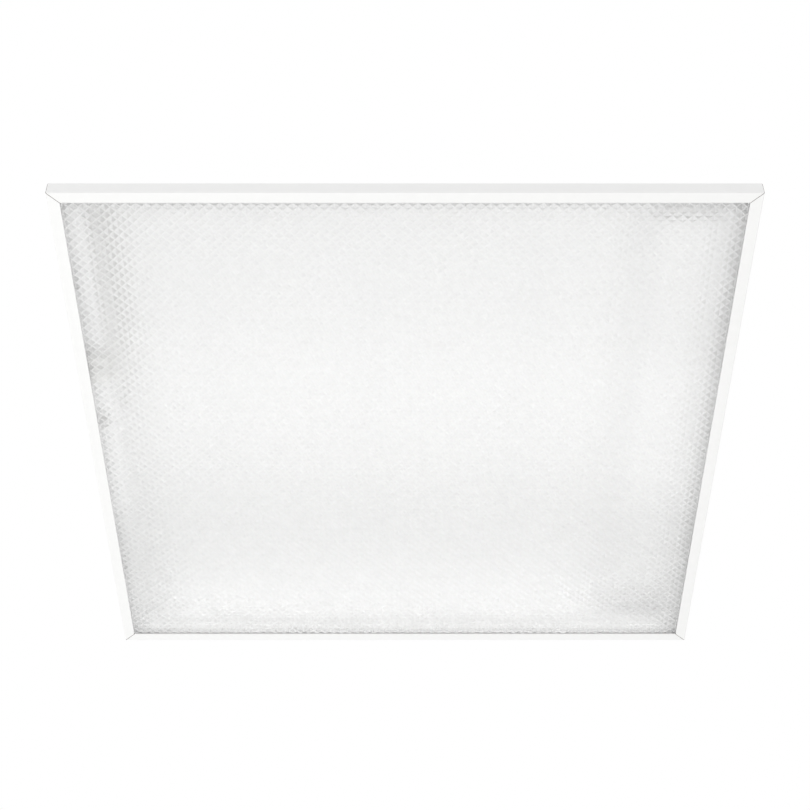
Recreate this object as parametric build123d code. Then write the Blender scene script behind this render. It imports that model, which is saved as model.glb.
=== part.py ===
from build123d import *
import os

# Recessed troffer light for a 600 mm ceiling module. The origin is the middle of the cut-out in the
# plane of the ceiling's underside. +Z points up into the ceiling void, -Y towards the near edge.

# Lens frame: four mitred lengths of one aluminium section
FACE = 595.0  # outer side of the frame, the standard face for a 600 mm module
HALF = FACE / 2
FRAME_H = 15.5  # the frame stands this far below the ceiling
LIP = 10.5  # width of the lip seen round the lens
WALL = 1.2
CURL_R = 3.8  # the wall curls over at the ceiling, about the hinge axis
EDGE_R = 0.8
LIP_EDGE_R = 0.4
RIB = 0.8
RIB_REACH = 8.5
RIB_LIP = 1.1
LENS_RIB_Z = -11.5
KEY_RIB_Z = -7.3
MITRE_GAP = 0.15  # clearance of each mitred face from the joint's plane
MITRE_DEPTH = 14.0

# Corner keys in the frame's channel
KEY_ARM = 34.0
KEY_SIDE_GAP = 0.2
KEY_CHAMFER = 1.0

# Prismatic lens
LENS_SIDE = 588.0
LENS_T = 2.5
LENS_CORNER_R = 2.0

# Housing
SHEET = 1.0
TRAY_HALF = 272.0
TRAY_TOP = 31.0
FLANGE_HALF = 290.7
BEND_R = 1.5
BEAD_W, BEAD_L, BEAD_H = 8.0, 420.0, 1.4
FIX_X, FIX_Y, FIX_R = 150.0, 230.0, 2.75  # suspension holes
KNOCKOUT_R, KNOCKOUT_GROOVE, KNOCKOUT_DEPTH = 11.0, 0.6, 0.5
KNOCKOUT_Y = 240.0
BEAD_CORNER = 2.4
FOLD_CLEAR = 2.0  # small brackets start this far from the tray's wall
WELD_TAB_W, WELD_TAB_L = 40.0, 10.0

# Light boards
BOARD_COUNT = 4
BOARD_X0 = -252.2
BOARD_PITCH = 145.0
BOARD_W, BOARD_L, BOARD_T = 16.0, 520.0, 1.2
LED_X, LED_Y, LED_T = 2.8, 3.5, 0.7
LED_COUNT = 22
CONNECTOR = (9.0, 7.0, 4.0)
CONNECTOR_INSET = 1.0
PORT_HALF, PORT_DEPTH = 1.0, 4.2  # wire entries of the connectors
RIVET_R, RIVET_HEAD_T = 2.6, 1.4
RIVET_Y = (-205.0, -68.0, 68.0, 205.0)
RIVET_OFFSET = 4.6

# Gear: driver and its cover on the right
DRIVER = (42.0, 168.0, 15.0)
DRIVER_X = 246.0
DRIVER_R = 3.0
DRIVER_EDGE = 1.0
EAR_W, EAR_L, EAR_T, EAR_HOLE_R = 21.0, 11.0, 2.5, 2.1
EAR_ROOT = 2.0  # the ears run this far into the case
DRIVER_SCREW_R, DRIVER_SCREW_H = 3.4, 2.0
COVER_T = 0.8
COVER_L = 510.0
COVER_FOOT_X = 195.0
COVER_FOOT_W = 8.0
COVER_DROP_X = 219.0
COVER_Z = 10.0
COVER_TURN_UP = 9.0
COVER_WALL_GAP = 0.2
COVER_SKEW = 0.3  # half the sheet's width along X where the cover slopes
COVER_SCREW_X, COVER_SCREW_Y = 198.4, 210.0
COVER_HOLE_R = 1.7
COVER_SCREW_R, COVER_SCREW_H = 2.9, 1.8
SHANK_CLEAR = 0.1

# Supply side on the left
TERMINAL = (16.5, 33.0, 8.4)
TERMINAL_Y = -89.5
TERMINAL_X = -279.9
TERMINAL_EDGE = 1.2
POLES = 3
POLE_PITCH = 10.0
ENTRY_HALF = 1.7
BUTTON_HALF, BUTTON_DEPTH = 1.9, 1.2
GROOVE_HALF, GROOVE_DEPTH = 0.5, 1.4
EARTH_X, EARTH_Y = -283.4, -19.5
WASHER_R, WASHER_T = 4.4, 0.8
EARTH_HEAD_R, EARTH_HEAD_H = 3.3, 2.2
SCREW_SLOT = (5.0, 0.8, 1.6)
GROMMET_Y, GROMMET_Z = -40.0, 15.0
GROMMET_BORE_R = 4.5
GROMMET_HOLE_R = 8.0
GROMMET_FLANGE_R = 10.0
GROMMET_LIP_T = 2.5
LEAD_R = 0.9
LEAD_TURN = 3.0
LEAD_RISE_X, LEAD_RUN_Y, LEAD_RUN_Z = -266.5, -266.0, 26.2
LEAD_STEP = 2.4  # leads run one above another
LEAD_DRIVER_X = 236.0
LEAD_CLIP_XS = (-200.0, -65.0, 75.0, 205.0)
JUMPER_Y = -262.3
JUMPER_TURN = 1.8
JUMPER_START = 2.1  # inside the connector
CLIP_HALF_W, CLIP_T = 4.0, 0.6
CLIP_GAP = 0.3

# Hinge on the right, concealed in the curl
AXIS_X = HALF - CURL_R
AXIS_Z = -CURL_R
PIN_R = 1.25
PIN_CLEAR = 0.06
KNUCKLE_R = 2.3
KNUCKLE_L = 12.0
LEAF_L = 8.0
KNUCKLE_GAP = 0.25
HINGE_Y = 190.0
BRACKET_T = 1.0
BRACKET_W = 34.0
BORE_OVERRUN = 1.0  # the knuckles' cutter runs this far past them

# Spring catches on the left
CATCH_Y = 190.0
CATCH_T = 0.6
CATCH_HALF = 12.0
CATCH_EDGE = 0.3  # the clip stops this short of the flange's edge
CATCH_LOW = -5.6
CATCH_TOE = 2.4
CATCH_REACH = 1.0
BLADE_T = 1.2
BLADE_HALF, BLADE_NECK_HALF, BLADE_FOOT_HALF = 4.0, 3.0, 3.6
BLADE_GAP = 0.25
BLADE_TOP, BLADE_HEAD_H = -2.4, 2.2
BLADE_FOOT_T, BLADE_FOOT_GAP = 0.8, 0.3

# Swing-out ceiling clamps on the left and right walls
CLAMP_X, CLAMP_Y = 280.0, 150.0
SCREW_R = 2.0
SCREW_HEAD_R, SCREW_HEAD_H = 4.0, 2.4
SCREW_TOP = 30.6
SCREW_HOLE_CLEAR = 0.25
KEEPER_T = 0.6
CARRIER_T = 1.2
CARRIER_GAP = 0.3
CARRIER_Z0, CARRIER_Z1 = 18.4, 29.6
CARRIER_W = 14.0
CARRIER_REACH = 286.2
EAR_CHAMFER = 3.5
ARM_L, ARM_W, ARM_ROOT_W, BOSS_R = 30.0, 6.4, 8.0, 5.0
ARM_BAR_H = 6.0
ARM_TIP = 1.5
ARM_CLEAR = 0.3
ARM_BORE_CLEAR = 0.15
TEETH, TOOTH_PITCH, TOOTH_INSET, TOOTH_CUT = 3, 4.0, 3.0, 1.6

# Sides of small round pieces and holes, kept few so that the whole part stays light
HEAD_SIDES = 12
RIVET_SIDES = 8
HOLE_SIDES = 12
ARM_SIDES = 20
KNOCKOUT_SIDES = 20
LEAD_SIDES = 6

BOARD_XS = [BOARD_X0 + i * BOARD_PITCH for i in range(BOARD_COUNT)]
CEILING_Z = TRAY_TOP - SHEET  # inner face of the tray's top
INNER = TRAY_HALF - SHEET
LENS_Z = -FRAME_H + WALL  # the lens rests on the lip
KEY_Z0 = LENS_RIB_Z + RIB
SHELF_Z = KEY_RIB_Z + RIB  # top of the upper rib, which carries the hinge leaves and blades


def block(x0, x1, y0, y1, z0, z1):
    """Box between two corners."""
    size = (x1 - x0, y1 - y0, z1 - z0)
    return Pos((x0 + x1) / 2, (y0 + y1) / 2, (z0 + z1) / 2) * Box(*size)


def rod(radius, x, y, z0, z1):
    """Upright round bar."""
    return Pos(x, y, (z0 + z1) / 2) * Cylinder(radius, z1 - z0)


def post(radius, sides, x, y, z0, z1):
    """Upright many-sided bar whose flats touch a circle of that radius."""
    return Pos(x, y, z0) * extrude(RegularPolygon(radius, sides, major_radius=False), z1 - z0)


def along_y(radius, x, z, y0, y1):
    """Round bar along Y."""
    return Pos(x, (y0 + y1) / 2, z) * Rot(90, 0, 0) * Cylinder(radius, y1 - y0)


def along_x(radius, y, z, x0, x1):
    """Round bar along X."""
    return Pos((x0 + x1) / 2, y, z) * Rot(0, 90, 0) * Cylinder(radius, x1 - x0)


def section_xz(points, length, bends=()):
    """Closed outline in X and Z carried along Y, with its named corners rounded."""
    plane = Plane(origin=(0, length / 2, 0), x_dir=(1, 0, 0), z_dir=(0, -1, 0))
    face = make_face(Polyline(*points, close=True))
    for x, z in bends:
        corner = face.vertices().sort_by_distance((x, z, 0))[0]
        face = fillet(corner, BEND_R)
    return extrude(plane * face, length)


def frame_section():
    """Outline of the frame's section: X runs inwards from the outer face, Y is height."""
    key_lip_z = LENS_RIB_Z + RIB + RIB_LIP
    top_lip_z = KEY_RIB_Z - RIB_LIP
    inner_r = CURL_R - WALL
    half_turn = 0.5**0.5
    centre = (CURL_R, -CURL_R)
    outline = [
        Line((0, -CURL_R), (0, -FRAME_H + EDGE_R)),
        RadiusArc((0, -FRAME_H + EDGE_R), (EDGE_R, -FRAME_H), -EDGE_R),
        Line((EDGE_R, -FRAME_H), (LIP - LIP_EDGE_R, -FRAME_H)),
        RadiusArc((LIP - LIP_EDGE_R, -FRAME_H), (LIP, -FRAME_H + LIP_EDGE_R), -LIP_EDGE_R),
        Polyline(
            (LIP, -FRAME_H + LIP_EDGE_R),
            (LIP, LENS_Z),
            (WALL, LENS_Z),
            (WALL, LENS_RIB_Z),
            (RIB_REACH, LENS_RIB_Z),
            (RIB_REACH, key_lip_z),
            (RIB_REACH - RIB, key_lip_z),
            (RIB_REACH - RIB, KEY_Z0),
            (WALL, KEY_Z0),
            (WALL, KEY_RIB_Z),
            (RIB_REACH - RIB, KEY_RIB_Z),
            (RIB_REACH - RIB, top_lip_z),
            (RIB_REACH, top_lip_z),
            (RIB_REACH, SHELF_Z),
            (WALL, SHELF_Z),
            (WALL, -CURL_R),
        ),
        ThreePointArc(
            (WALL, -CURL_R),
            (centre[0] - inner_r * half_turn, centre[1] + inner_r * half_turn),
            (CURL_R, -WALL),
        ),
        Line((CURL_R, -WALL), (CURL_R, 0)),
        ThreePointArc(
            (CURL_R, 0),
            (centre[0] - CURL_R * half_turn, centre[1] + CURL_R * half_turn),
            (0, -CURL_R),
        ),
    ]
    return make_face(Curve() + outline)


def frame_side(turn):
    """One mitred length of the section, made at the near edge and turned to its own."""
    plane = Plane(origin=(-HALF, -HALF, 0), x_dir=(0, 1, 0), z_dir=(1, 0, 0))
    bar = extrude(plane * frame_section(), FACE)
    trim = MITRE_GAP * 2**0.5
    corner_points = (
        (-HALF + trim, -HALF),
        (HALF - trim, -HALF),
        (HALF - trim - MITRE_DEPTH, -HALF + MITRE_DEPTH),
        (-HALF + trim + MITRE_DEPTH, -HALF + MITRE_DEPTH),
    )
    mitre = extrude(Pos(0, 0, -2 * FRAME_H) * make_face(Polyline(*corner_points, close=True)), 3 * FRAME_H)
    return Rot(0, 0, turn) * (bar & mitre)


def corner_key(turn):
    """L-shaped die-cast key that joins two lengths, with chamfered ends for driving in."""
    start = -HALF + WALL + KEY_SIDE_GAP
    width = RIB_REACH - RIB - WALL - 2 * KEY_SIDE_GAP
    key = block(start, start + KEY_ARM, start, start + width, KEY_Z0, KEY_RIB_Z)
    key += block(start, start + width, start, start + KEY_ARM, KEY_Z0, KEY_RIB_Z)
    for axis in (Axis.X, Axis.Y):
        key = chamfer(key.faces().sort_by(axis)[-1].edges().filter_by(Axis.Z), KEY_CHAMFER)
    return Rot(0, 0, turn) * key


def prismatic_lens():
    """Moulded sheet that lies on the lips, under the lower rib."""
    sheet = extrude(RectangleRounded(LENS_SIDE, LENS_SIDE, LENS_CORNER_R), LENS_T)
    return Pos(0, 0, LENS_Z) * sheet


def bead(width, length):
    """Pressed bead with cut corners, rising from z = 0."""
    plan = chamfer(Rectangle(width, length).vertices(), BEAD_CORNER)
    return extrude(plan, BEAD_H)


def housing_tray():
    """Folded sheet: top, left and right walls and their flanges, with pressed beads and holes."""
    points = [
        (-FLANGE_HALF, 0),
        (-FLANGE_HALF, -SHEET),
        (-INNER, -SHEET),
        (-INNER, CEILING_Z),
        (INNER, CEILING_Z),
        (INNER, -SHEET),
        (FLANGE_HALF, -SHEET),
        (FLANGE_HALF, 0),
        (TRAY_HALF, 0),
        (TRAY_HALF, TRAY_TOP),
        (-TRAY_HALF, TRAY_TOP),
        (-TRAY_HALF, 0),
    ]
    tray = section_xz(points, 2 * INNER, [(-TRAY_HALF, TRAY_TOP), (TRAY_HALF, TRAY_TOP)])
    for i in range(BOARD_COUNT - 1):
        x = (BOARD_XS[i] + BOARD_XS[i + 1]) / 2
        tray += Pos(x, 0, TRAY_TOP) * bead(BEAD_W, BEAD_L)
        tray -= Pos(x, 0, CEILING_Z) * bead(BEAD_W - 2 * SHEET, BEAD_L - 2 * SHEET)
    for x in (-FIX_X, FIX_X):
        for y in (-FIX_Y, FIX_Y):
            tray -= rod(FIX_R, x, y, CEILING_Z - SHEET, TRAY_TOP + SHEET)
    for y in (-KNOCKOUT_Y, KNOCKOUT_Y):
        bottom = TRAY_TOP - KNOCKOUT_DEPTH
        groove = post(KNOCKOUT_R, KNOCKOUT_SIDES, 0, 0, bottom, TRAY_TOP + SHEET)
        groove -= post(KNOCKOUT_R - KNOCKOUT_GROOVE, KNOCKOUT_SIDES, 0, 0, bottom, TRAY_TOP + SHEET)
        tray -= Pos((BOARD_XS[1] + BOARD_XS[2]) / 2, y, 0) * groove
    for x, y in clamp_places():
        tray -= post(SCREW_R + SCREW_HOLE_CLEAR, HOLE_SIDES, x, y, -2 * SHEET, SHEET)
    tray -= along_x(GROMMET_HOLE_R, GROMMET_Y, GROMMET_Z, -TRAY_HALF - SHEET, -INNER + SHEET)
    return tray


def end_plate(side):
    """Folded end: wall, flange across the full width, and weld tabs under the tray's top."""
    wall = block(-TRAY_HALF, TRAY_HALF, INNER, TRAY_HALF, -SHEET, TRAY_TOP)
    flange = block(-FLANGE_HALF, FLANGE_HALF, INNER, FLANGE_HALF, -SHEET, 0)
    plate = wall + flange
    for i in range(BOARD_COUNT - 1):
        x = (BOARD_XS[i] + BOARD_XS[i + 1]) / 2
        tab = block(
            x - WELD_TAB_W / 2,
            x + WELD_TAB_W / 2,
            INNER - WELD_TAB_L,
            INNER,
            CEILING_Z - SHEET,
            CEILING_Z,
        )
        plate += tab
    return plate if side > 0 else Rot(0, 0, 180) * mirror(plate, about=Plane.YZ)


def led_board(x):
    """Aluminium-backed board riveted under the tray's top."""
    half_w, half_l = BOARD_W / 2, BOARD_L / 2
    return block(x - half_w, x + half_w, -half_l, half_l, CEILING_Z - BOARD_T, CEILING_Z)


def led_packages(x):
    """The board's row of light-emitting packages."""
    pitch = BOARD_L / LED_COUNT
    z1 = CEILING_Z - BOARD_T
    packages = []
    for i in range(LED_COUNT):
        y = (i - (LED_COUNT - 1) / 2) * pitch
        packages.append(block(x - LED_X / 2, x + LED_X / 2, y - LED_Y / 2, y + LED_Y / 2, z1 - LED_T, z1))
    return Compound(packages)


def board_rivets():
    """Heads of the push rivets that hold the boards."""
    z = CEILING_Z - BOARD_T
    places = [(x + RIVET_OFFSET, y) for x in BOARD_XS for y in RIVET_Y]
    return Compound([post(RIVET_R, RIVET_SIDES, x, y, z - RIVET_HEAD_T, z) for x, y in places])


def board_connectors():
    """Wire connectors at the near end of each board."""
    width, depth, height = CONNECTOR
    z1 = CEILING_Z - BOARD_T
    y0 = -BOARD_L / 2 + CONNECTOR_INSET
    connectors = []
    low, high = z1 - height / 2 - PORT_HALF, z1 - height / 2 + PORT_HALF
    for x in BOARD_XS:
        body = block(x - width / 2, x + width / 2, y0, y0 + depth, z1 - height, z1)
        for port_x in (x - width / 4, x + width / 4):
            body -= block(port_x - PORT_HALF, port_x + PORT_HALF, y0, y0 + PORT_DEPTH, low, high)
        connectors.append(body)
    return Compound(connectors)


def led_driver():
    """Moulded driver case with a mounting ear at each end, on the tray's top."""
    width, length, height = DRIVER
    z0 = CEILING_Z - height
    case = block(-width / 2, width / 2, -length / 2, length / 2, z0, CEILING_Z)
    case = fillet(case.edges().filter_by(Axis.Z), DRIVER_R)
    case = chamfer(case.faces().sort_by(Axis.Z)[0].edges(), DRIVER_EDGE)
    for side in (-1, 1):
        ear_y = side * (length + EAR_L - EAR_ROOT) / 2
        ear = Pos(0, ear_y, CEILING_Z - EAR_T / 2) * Box(EAR_W, EAR_L + EAR_ROOT, EAR_T)
        hole_y = side * (length + EAR_L) / 2
        ear -= post(EAR_HOLE_R, HOLE_SIDES, 0, hole_y, CEILING_Z - EAR_T, CEILING_Z)
        case += ear
    return Pos(DRIVER_X, 0, 0) * case


def driver_screws():
    """Pan-head screws through the driver's ears."""
    screws = []
    for side in (-1, 1):
        y = side * (DRIVER[1] / 2 + EAR_L / 2)
        low = CEILING_Z - EAR_T
        screw = post(DRIVER_SCREW_R, HEAD_SIDES, DRIVER_X, y, low - DRIVER_SCREW_H, low)
        screw += post(EAR_HOLE_R - SHANK_CLEAR, HEAD_SIDES, DRIVER_X, y, low, CEILING_Z)
        screws.append(screw)
    return Compound(screws)


def gear_cover():
    """Folded cover over the driver and its wiring, with a foot screwed to the tray's top."""
    foot_end = COVER_FOOT_X + COVER_FOOT_W
    outer = INNER - COVER_WALL_GAP
    inner = outer - COVER_T
    points = [
        (COVER_FOOT_X, CEILING_Z),
        (COVER_FOOT_X, CEILING_Z - COVER_T),
        (foot_end - COVER_SKEW, CEILING_Z - COVER_T),
        (COVER_DROP_X - COVER_SKEW, COVER_Z - COVER_T),
        (outer, COVER_Z - COVER_T),
        (outer, COVER_Z + COVER_TURN_UP),
        (inner, COVER_Z + COVER_TURN_UP),
        (inner, COVER_Z),
        (COVER_DROP_X + COVER_SKEW, COVER_Z),
        (foot_end + COVER_SKEW, CEILING_Z),
    ]
    cover = section_xz(points, COVER_L)
    for y in (-COVER_SCREW_Y, COVER_SCREW_Y):
        cover -= post(COVER_HOLE_R, HOLE_SIDES, COVER_SCREW_X, y, CEILING_Z - COVER_T, CEILING_Z)
    return cover


def cover_screws():
    """Screws through the cover's foot."""
    screws = []
    z = CEILING_Z - COVER_T
    for y in (-COVER_SCREW_Y, COVER_SCREW_Y):
        screw = post(COVER_SCREW_R, HEAD_SIDES, COVER_SCREW_X, y, z - COVER_SCREW_H, z)
        screw += post(COVER_HOLE_R - SHANK_CLEAR, HEAD_SIDES, COVER_SCREW_X, y, z, CEILING_Z)
        screws.append(screw)
    return Compound(screws)


def terminal_block():
    """Low supply terminal under the left flange, with a row of wire entries facing inwards."""
    width, length, height = TERMINAL
    bottom = -SHEET - height
    body = block(-width / 2, width / 2, -length / 2, length / 2, bottom, -SHEET)
    body = chamfer(body.edges().filter_by(Axis.Y).group_by(Axis.Z)[0], TERMINAL_EDGE)
    z = bottom + height / 2
    button_x = -width / 4
    for i in range(POLES):
        y = (i - (POLES - 1) / 2) * POLE_PITCH
        body -= block(0, width / 2, y - ENTRY_HALF, y + ENTRY_HALF, z - ENTRY_HALF, z + ENTRY_HALF)
        body -= block(
            button_x - BUTTON_HALF,
            button_x + BUTTON_HALF,
            y - BUTTON_HALF,
            y + BUTTON_HALF,
            bottom,
            bottom + BUTTON_DEPTH,
        )
    for i in range(POLES - 1):
        y0 = (i - (POLES - 2) / 2) * POLE_PITCH - GROOVE_HALF
        body -= block(-width / 2, width / 2, y0, y0 + 2 * GROOVE_HALF, bottom, bottom + GROOVE_DEPTH)
    return Pos(TERMINAL_X, TERMINAL_Y, 0) * body


def cable_grommet():
    """Round rubber grommet in the left wall, grooved for the sheet."""
    profile = Polyline(
        (GROMMET_BORE_R, -SHEET / 2 - GROMMET_LIP_T),
        (GROMMET_FLANGE_R, -SHEET / 2),
        (GROMMET_HOLE_R, -SHEET / 2),
        (GROMMET_HOLE_R, SHEET / 2),
        (GROMMET_FLANGE_R, SHEET / 2),
        (GROMMET_BORE_R, SHEET / 2 + GROMMET_LIP_T),
        close=True,
    )
    ring = revolve(Plane.XZ * make_face(profile), Axis.Z)
    return Pos(-TRAY_HALF + SHEET / 2, GROMMET_Y, GROMMET_Z) * Rot(0, 90, 0) * ring


def earth_screw():
    """Earth screw and its washer under the left flange."""
    seat = -SHEET - WASHER_T
    washer = post(WASHER_R, HEAD_SIDES, EARTH_X, EARTH_Y, seat, -SHEET)
    head = post(EARTH_HEAD_R, HEAD_SIDES, EARTH_X, EARTH_Y, seat - EARTH_HEAD_H, seat)
    head -= Pos(EARTH_X, EARTH_Y, seat - EARTH_HEAD_H) * Box(*SCREW_SLOT)
    return Compound([washer, head])


def lead(points, turn):
    """Lead along straight runs; each turn is cut across, which makes it two easier bends."""
    route = [Vector(*points[0])]
    for before, corner, after in zip(points[:-2], points[1:-1], points[2:]):
        for neighbour in (before, after):
            away = Vector(*neighbour) - Vector(*corner)
            route.append(Vector(*corner) + away.normalized() * turn)
    route.append(Vector(*points[-1]))
    path = Polyline(*route)
    start = Plane(origin=path @ 0, z_dir=path % 0)
    return sweep(start * RegularPolygon(LEAD_R, LEAD_SIDES), path=path, transition=Transition.RIGHT)


def supply_leads():
    """Leads from the terminal along the near wall to the driver under its cover."""
    leads = []
    z_terminal = -SHEET - TERMINAL[2] / 2
    for i in range(POLES):
        y = TERMINAL_Y + (i - (POLES - 1) / 2) * POLE_PITCH
        x_rise = LEAD_RISE_X + LEAD_STEP * i
        x_driver = LEAD_DRIVER_X + 2 * LEAD_STEP * i
        z_run = LEAD_RUN_Z - LEAD_STEP * i
        route = [
            (TERMINAL_X + TERMINAL[0] / 4, y, z_terminal),
            (x_rise, y, z_terminal),
            (x_rise, y, z_run),
            (x_rise, LEAD_RUN_Y, z_run),
            (x_driver, LEAD_RUN_Y, z_run),
            (x_driver, -DRIVER[1] / 2, z_run),
        ]
        leads.append(lead(route, LEAD_TURN))
    return Compound(leads)


def board_leads():
    """Jumpers from board to board along their near ends, and the lead from the last to the driver."""
    z = CEILING_Z - BOARD_T - CONNECTOR[2] / 2
    y_in = -BOARD_L / 2 + CONNECTOR_INSET + JUMPER_START
    entry = CONNECTOR[0] / 4
    leads = []
    for left, right in zip(BOARD_XS[:-1], BOARD_XS[1:]):
        x0, x1 = left + entry, right - entry
        route = [(x0, y_in, z), (x0, JUMPER_Y, z), (x1, JUMPER_Y, z), (x1, y_in, z)]
        leads.append(lead(route, JUMPER_TURN))
    x = BOARD_XS[-1] + entry
    x_driver = DRIVER_X - DRIVER[0] / 2 + DRIVER_R
    to_driver = [(x, y_in, z), (x, JUMPER_Y, z), (x_driver, JUMPER_Y, z), (x_driver, -DRIVER[1] / 2, z)]
    leads.append(lead(to_driver, JUMPER_TURN))
    return Compound(leads)


def lead_clips():
    """Open clips on the near end plate that hold the supply leads."""
    clips = []
    low = LEAD_RUN_Z - (POLES - 1) * LEAD_STEP - LEAD_R - CLIP_GAP
    high = LEAD_RUN_Z + LEAD_R + CLIP_GAP
    back = LEAD_RUN_Y - LEAD_R - CLIP_GAP
    front = LEAD_RUN_Y + LEAD_R + CLIP_GAP
    for x in LEAD_CLIP_XS:
        x0, x1 = x - CLIP_HALF_W, x + CLIP_HALF_W
        clip = block(x0, x1, -INNER, front, low - CLIP_T, high + CLIP_T)
        clips.append(clip - block(x0, x1, back, front, low, high))
    return Compound(clips)


def hinge_bracket(side):
    """Bracket riveted under the right flange, rolled round the hinge pin at its outer end."""
    z_plate = -SHEET
    web_top = AXIS_Z - KNUCKLE_R + BRACKET_T
    riser_x = HALF - LIP
    plate_x = TRAY_HALF + FOLD_CLEAR
    half_w = BRACKET_W / 2
    bracket = block(plate_x, riser_x + BRACKET_T, -half_w, half_w, z_plate - BRACKET_T, z_plate)
    half = KNUCKLE_L / 2
    bracket += block(riser_x, riser_x + BRACKET_T, -half, half, AXIS_Z - KNUCKLE_R, z_plate)
    bracket += block(riser_x, AXIS_X, -half, half, AXIS_Z - KNUCKLE_R, web_top)
    bracket += along_y(KNUCKLE_R, AXIS_X, AXIS_Z, -half, half)
    bracket -= along_y(PIN_R, AXIS_X, AXIS_Z, -half - BORE_OVERRUN, half + BORE_OVERRUN)
    return Pos(0, side * HINGE_Y, 0) * bracket


def hinge_pin(side):
    """Plain steel pin, held in the bracket's knuckle."""
    reach = KNUCKLE_L / 2 + KNUCKLE_GAP + LEAF_L
    return Pos(0, side * HINGE_Y, 0) * along_y(PIN_R, AXIS_X, AXIS_Z, -reach, reach)


def hinge_leaf(side):
    """Two knuckles of the frame, standing on its upper rib against the wall."""
    knuckles = []
    inner_face = HALF - WALL
    for end in (-1, 1):
        middle = end * (KNUCKLE_L / 2 + KNUCKLE_GAP + LEAF_L / 2)
        low, high = middle - LEAF_L / 2, middle + LEAF_L / 2
        body = along_y(KNUCKLE_R, AXIS_X, AXIS_Z, low, high)
        body += block(AXIS_X - KNUCKLE_R, inner_face, low, high, SHELF_Z, AXIS_Z)
        body -= along_y(PIN_R + PIN_CLEAR, AXIS_X, AXIS_Z, low - BORE_OVERRUN, high + BORE_OVERRUN)
        knuckles.append(Pos(0, side * HINGE_Y, 0) * body)
    return Compound(knuckles)


def catch_clip(side):
    """Spring-steel clip under the left flange, with two leaves that grip the frame's blade."""
    x0 = -FLANGE_HALF + CATCH_EDGE
    x1 = -HALF + LIP + CATCH_REACH
    clip = block(x0, -TRAY_HALF - FOLD_CLEAR, -CATCH_HALF, CATCH_HALF, -SHEET - CATCH_T, -SHEET)
    face = BLADE_HALF + BLADE_GAP
    for end in (-1, 1):
        leaf_y = end * (face + CATCH_T / 2)
        toe_y = end * (face + CATCH_TOE / 2)
        clip += block(x0, x1, leaf_y - CATCH_T / 2, leaf_y + CATCH_T / 2, CATCH_LOW, -SHEET)
        clip += block(x0, x1, toe_y - CATCH_TOE / 2, toe_y + CATCH_TOE / 2, CATCH_LOW - CATCH_T, CATCH_LOW)
    return Pos(0, side * CATCH_Y, 0) * clip


def catch_blade(side):
    """Blade on the frame's upper rib that pushes up between the clip's leaves."""
    x0 = -HALF + WALL + BLADE_FOOT_GAP
    x1 = -HALF + RIB_REACH
    foot = block(x0, x1, -BLADE_FOOT_HALF, BLADE_FOOT_HALF, SHELF_Z, SHELF_Z + BLADE_FOOT_T)
    neck = block(x1 - BLADE_T, x1, -BLADE_NECK_HALF, BLADE_NECK_HALF, SHELF_Z, BLADE_TOP)
    head = block(x1 - BLADE_T, x1, -BLADE_HALF, BLADE_HALF, BLADE_TOP - BLADE_HEAD_H, BLADE_TOP)
    return Pos(0, side * CATCH_Y, 0) * (foot + neck + head)


def clamp_places():
    """Screw axes of the four clamps: near left, near right, far left, far right."""
    return [(x, y) for y in (-CLAMP_Y, CLAMP_Y) for x in (-CLAMP_X, CLAMP_X)]


def clamp_screw(x, y):
    """Long screw from below the flange, with the push-on washer that keeps it in."""
    screw = post(SCREW_HEAD_R, HEAD_SIDES, x, y, -SHEET - SCREW_HEAD_H, -SHEET)
    screw += post(SCREW_R, HEAD_SIDES, x, y, -SHEET, SCREW_TOP)
    screw += post(SCREW_HEAD_R, HEAD_SIDES, x, y, 0, KEEPER_T)
    return screw


def clamp_carrier(x, y):
    """U-shaped carrier that the screw draws down along the tray's wall."""
    back = TRAY_HALF + CARRIER_GAP
    half = CARRIER_W / 2
    carrier = block(back, back + CARRIER_T, -half, half, CARRIER_Z0, CARRIER_Z1)
    for z0 in (CARRIER_Z0, CARRIER_Z1 - CARRIER_T):
        ear = block(back, CARRIER_REACH, -half, half, z0, z0 + CARRIER_T)
        carrier += chamfer(ear.edges().filter_by(Axis.Z).group_by(Axis.X)[-1], EAR_CHAMFER)
    bore = SCREW_R + SCREW_HOLE_CLEAR
    carrier -= post(bore, HOLE_SIDES, CLAMP_X, 0, CARRIER_Z0, CARRIER_Z1)
    if x < 0:
        carrier = mirror(carrier, about=Plane.YZ)
    return Pos(0, y, 0) * carrier


def clamp_arm(x, y):
    """Moulded arm that swings out over the ceiling board; at rest it lies along the wall."""
    z0 = CARRIER_Z0 + CARRIER_T + ARM_CLEAR
    height = CARRIER_Z1 - CARRIER_T - ARM_CLEAR - z0
    taper = Polyline(
        (-ARM_ROOT_W / 2, 0),
        (ARM_ROOT_W / 2, 0),
        (ARM_W / 2, ARM_L),
        (-ARM_W / 2, ARM_L),
        close=True,
    )
    bar = extrude(make_face(taper), ARM_BAR_H)
    bar = chamfer(bar.edges().filter_by(Axis.Z).group_by(Axis.Y)[-1], ARM_TIP)
    arm = post(BOSS_R, ARM_SIDES, 0, 0, 0, height) + bar
    for i in range(TEETH):
        arm -= Pos(0, ARM_L - TOOTH_INSET - i * TOOTH_PITCH, 0) * Box(ARM_ROOT_W, TOOTH_CUT, TOOTH_CUT)
    arm -= post(SCREW_R + ARM_BORE_CLEAR, ARM_SIDES, 0, 0, 0, height)
    towards_middle = 180 if y > 0 else 0
    return Pos(x, y, z0) * Rot(0, 0, towards_middle) * arm


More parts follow.
